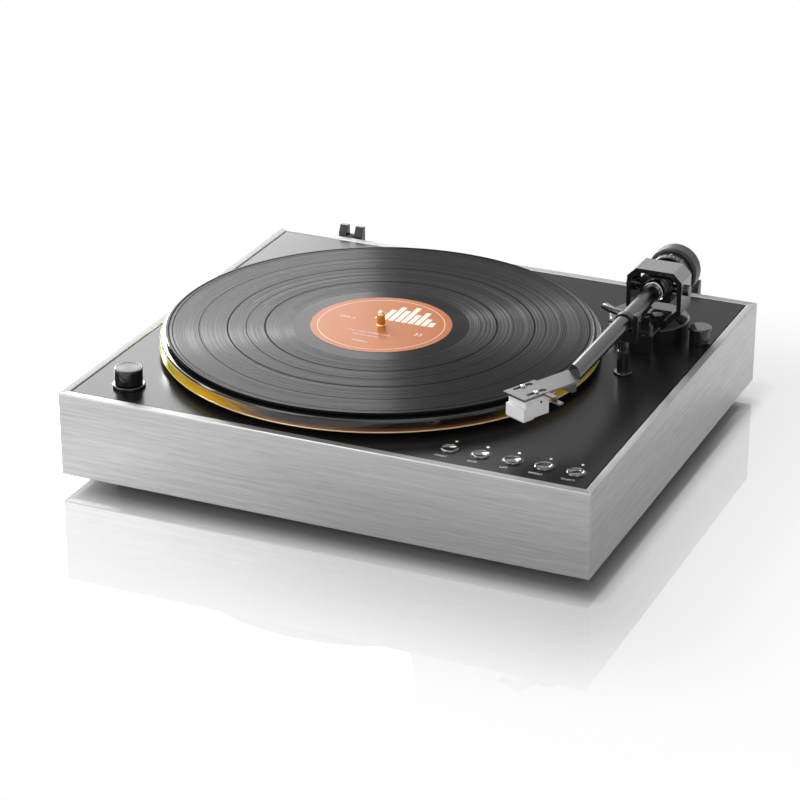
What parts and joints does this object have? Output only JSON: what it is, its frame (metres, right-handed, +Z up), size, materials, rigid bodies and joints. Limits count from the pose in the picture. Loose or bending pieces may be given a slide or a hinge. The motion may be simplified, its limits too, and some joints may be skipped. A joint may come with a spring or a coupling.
{
  "type": "automatic turntable",
  "caption": "Low square record player with a flat belt-driven platter, straight tonearm on a pivot frame, arm lift, counterweight, selector knob and row of push buttons.",
  "frame": {"origin": "centre of the bounding box on the floor below the feet", "axes": "+X to the right seen from the front, where the buttons are, +Y to the back, where the hinges and sockets are, +Z up"},
  "size_m": [0.385, 0.36, 0.1263],
  "materials": {
    "panel_aluminium": "horizontally brushed, clear anodised, bright bevelled edges",
    "deck_aluminium": "fine satin, grey anodised",
    "platter_acrylic": "clear amber acrylic, polished",
    "vinyl": "pressed vinyl with fine grooves",
    "label_paper": "printed paper, plain design",
    "mat_rubber": "matt",
    "gloss_black": "polished moulding",
    "matt_black": "fine moulded texture",
    "frame_grey": "satin paint",
    "tube_grey": "gloss paint",
    "bright_metal": "polished",
    "satin_metal": "turned",
    "button_metal": "polished, dished",
    "cartridge_white": "satin",
    "chassis_steel": "matt paint",
    "steel": "turned",
    "brass": "turned",
    "belt_rubber": "ground",
    "board_green": "circuit board"
  },
  "bodies": {
    "base": {"front_panel": "panel_aluminium", "rear_panel": "panel_aluminium", "left_panel": "panel_aluminium", "right_panel": "panel_aluminium", "deck_plate": "deck_aluminium", "chassis_frame": "chassis_steel", "bottom_tray": "chassis_steel", "foot_fl": "mat_rubber", "foot_fr": "mat_rubber", "foot_bl": "mat_rubber", "foot_br": "mat_rubber", "platter_bearing": "brass", "motor": "steel", "belt": "belt_rubber", "control_board": "board_green", "button_carrier": "gloss_black", "selector_switch": "gloss_black", "arm_base": "gloss_black", "arm_bearing": "brass", "lift_solenoid": "steel", "armrest": "gloss_black", "arm_motor": "matt_black", "hinge_base_l": "matt_black", "hinge_base_r": "matt_black", "socket_plate": "matt_black", "signal_jacks": "brass"},
    "platter": {"sub_platter": "satin_metal", "platter": "platter_acrylic", "platter_mat": "mat_rubber"},
    "record": {"record_disc": "vinyl", "record_label": "label_paper"},
    "pulley": {"motor_pulley": "brass"},
    "selector": {"selector_knob": "gloss_black", "selector_cap": "satin_metal"},
    "arm_yoke": {"gimbal_frame": "frame_grey", "arm_shaft": "steel", "pivot_screw_l": "bright_metal", "pivot_screw_r": "bright_metal"},
    "tonearm": {"pivot_block": "frame_grey", "arm_spine": "bright_metal", "arm_tube": "tube_grey", "rest_clip": "gloss_black", "headshell": "satin_metal", "headshell_mount": "matt_black", "cartridge": "cartridge_white", "stylus": "cartridge_white", "cartridge_screw_l": "bright_metal", "cartridge_screw_r": "bright_metal"},
    "weight": {"counterweight": "matt_black"},
    "dial": {"force_dial": "satin_metal"},
    "arm_lift": {"lift_bar": "gloss_black"},
    "arm_pinion": {"drive_pinion": "brass"},
    "antiskate": {"antiskate_knob": "gloss_black"},
    "cover_hinge_l": {"hinge_arm_l": "matt_black"},
    "cover_hinge_r": {"hinge_arm_r": "matt_black"},
    "button_1": {"button_1": "button_metal"},
    "button_2": {"button_2": "button_metal"},
    "button_3": {"button_3": "button_metal"},
    "button_4": {"button_4": "button_metal"},
    "button_5": {"button_5": "button_metal"}
  },
  "joints": [
    {"name": "platter_spin", "type": "hinge", "parent": "base", "child": "platter", "pos_m": [-0.0258, -0.0158, 0.0745], "axis": [0, 0, 1], "continuous": true},
    {"name": "record_lift", "type": "slide", "parent": "platter", "child": "record", "axis": [0, 0, 1], "range_m": [0, 0.09]},
    {"name": "pulley_spin", "type": "hinge", "parent": "base", "child": "pulley", "pos_m": [-0.10217, 0.06057, 0.0595], "axis": [0, 0, 1], "continuous": true},
    {"name": "button_1_press", "type": "slide", "parent": "base", "child": "button_1", "axis": [0, 0, -1], "range_m": [0, 0.0008], "stiffness_N_per_m": 400, "springref_m": -0.002},
    {"name": "button_2_press", "type": "slide", "parent": "base", "child": "button_2", "axis": [0, 0, -1], "range_m": [0, 0.0008], "stiffness_N_per_m": 400, "springref_m": -0.002},
    {"name": "button_3_press", "type": "slide", "parent": "base", "child": "button_3", "axis": [0, 0, -1], "range_m": [0, 0.0008], "stiffness_N_per_m": 400, "springref_m": -0.002},
    {"name": "button_4_press", "type": "slide", "parent": "base", "child": "button_4", "axis": [0, 0, -1], "range_m": [0, 0.0008], "stiffness_N_per_m": 400, "springref_m": -0.002},
    {"name": "button_5_press", "type": "slide", "parent": "base", "child": "button_5", "axis": [0, 0, -1], "range_m": [0, 0.0008], "stiffness_N_per_m": 400, "springref_m": -0.002},
    {"name": "selector_turn", "type": "hinge", "parent": "base", "child": "selector", "pos_m": [-0.1542, -0.149, 0.0705], "axis": [0, 0, 1], "range_deg": [-45, 45]},
    {"name": "arm_yaw", "type": "hinge", "parent": "base", "child": "arm_yoke", "pos_m": [0.1451, 0.0808, 0.0705], "axis": [0, 0, -1], "range_deg": [0, 39.5]},
    {"name": "arm_tilt", "type": "hinge", "parent": "arm_yoke", "child": "tonearm", "pos_m": [0.1451, 0.0808, 0.1085], "axis": [-1, 0, 0], "range_deg": [-0.37, 2.95]},
    {"name": "lift_rise", "type": "slide", "parent": "base", "child": "arm_lift", "axis": [0, 0, 1], "range_m": [-0.00029, 0.0022]},
    {"name": "dial_turn", "type": "hinge", "parent": "weight", "child": "dial", "pos_m": [0.1451, 0.1083, 0.1085], "axis": [0, 1, 0], "range_deg": [-292, 728]},
    {"name": "weight_slide", "type": "slide", "parent": "tonearm", "child": "weight", "axis": [0, 1, 0], "range_m": [-0.002, 0.005]},
    {"name": "pinion_spin", "type": "hinge", "parent": "base", "child": "arm_pinion", "pos_m": [0.1451, 0.1108, 0.0385], "axis": [0, 0, -1], "range_deg": [-160, 2]},
    {"name": "antiskate_turn", "type": "hinge", "parent": "base", "child": "antiskate", "pos_m": [0.1769, 0.0806, 0.0705], "axis": [0, 0, 1], "range_deg": [-135, 135]},
    {"name": "cover_hinge_l_tilt", "type": "hinge", "parent": "base", "child": "cover_hinge_l", "pos_m": [-0.136, 0.175, 0.0665], "axis": [-1, 0, 0], "range_deg": [0, 60]},
    {"name": "cover_hinge_r_tilt", "type": "hinge", "parent": "base", "child": "cover_hinge_r", "pos_m": [0.136, 0.175, 0.0665], "axis": [-1, 0, 0], "range_deg": [0, 60]}
  ],
  "couplings": [
    {"joint": "pulley_spin", "follows": "platter_spin", "ratio": 10},
    {"joint": "lift_rise", "follows": "arm_tilt", "m_per_rad": 0.0425},
    {"joint": "pinion_spin", "follows": "arm_yaw", "ratio": -4},
    {"joint": "dial_turn", "follows": "weight_slide", "rad_per_m": 2513.3}
  ]
}
